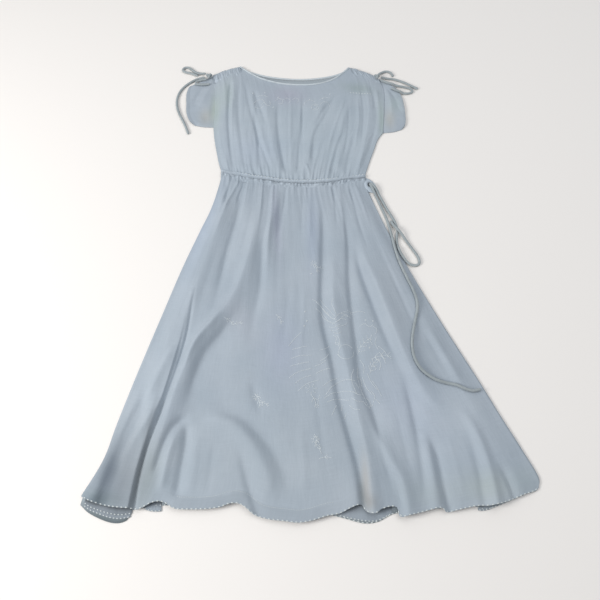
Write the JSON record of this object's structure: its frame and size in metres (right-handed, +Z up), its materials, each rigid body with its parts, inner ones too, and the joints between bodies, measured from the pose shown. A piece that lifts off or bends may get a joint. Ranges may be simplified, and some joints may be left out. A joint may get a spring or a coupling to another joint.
{
  "type": "peasant dress, laid flat",
  "caption": "Cap-sleeve drawstring peasant dress in fine cotton, laid flat with its front up: scooped neck, tied shoulders, gathered waist and a flared skirt with soft folds.",
  "frame": {"origin": "middle of the base of the garment as it lies, without its free cords, on the surface it rests on", "axes": "+Y from hem to neck, +X to the wearer's left (right of the front as seen), +Z up out of the front"},
  "size_m": [0.8993, 1.1636, 0.0322],
  "materials": {
    "cloth": "fine semi-sheer cotton voile, pale blue-grey, matt with a faint sheen",
    "binding": "narrow corded binding of the same cotton, a shade lighter",
    "cord": "sewn tube of the same cotton",
    "embroidery": "fine white embroidery thread"
  },
  "bodies": {
    "root": {"bodice_front": "cloth", "bodice_back": "cloth", "sleeve_right": "cloth", "sleeve_left": "cloth", "neck_binding_front": "binding", "neck_binding_back": "binding", "shoulder_casing_right": "cloth", "shoulder_casing_left": "cloth", "waist_casing_front": "cloth", "waist_casing_back": "cloth", "skirt_front": "cloth", "skirt_back": "cloth", "waist_cord_long": "cord", "waist_cord_loop": "cord", "tie_right_loop": "cord", "tie_right_tail": "cord", "tie_right_short": "cord", "tie_left_loop": "cord", "tie_left_tail": "cord", "tie_left_short": "cord", "tie_knot_right": "cord", "tie_knot_left": "cord"}
  },
  "joints": []
}
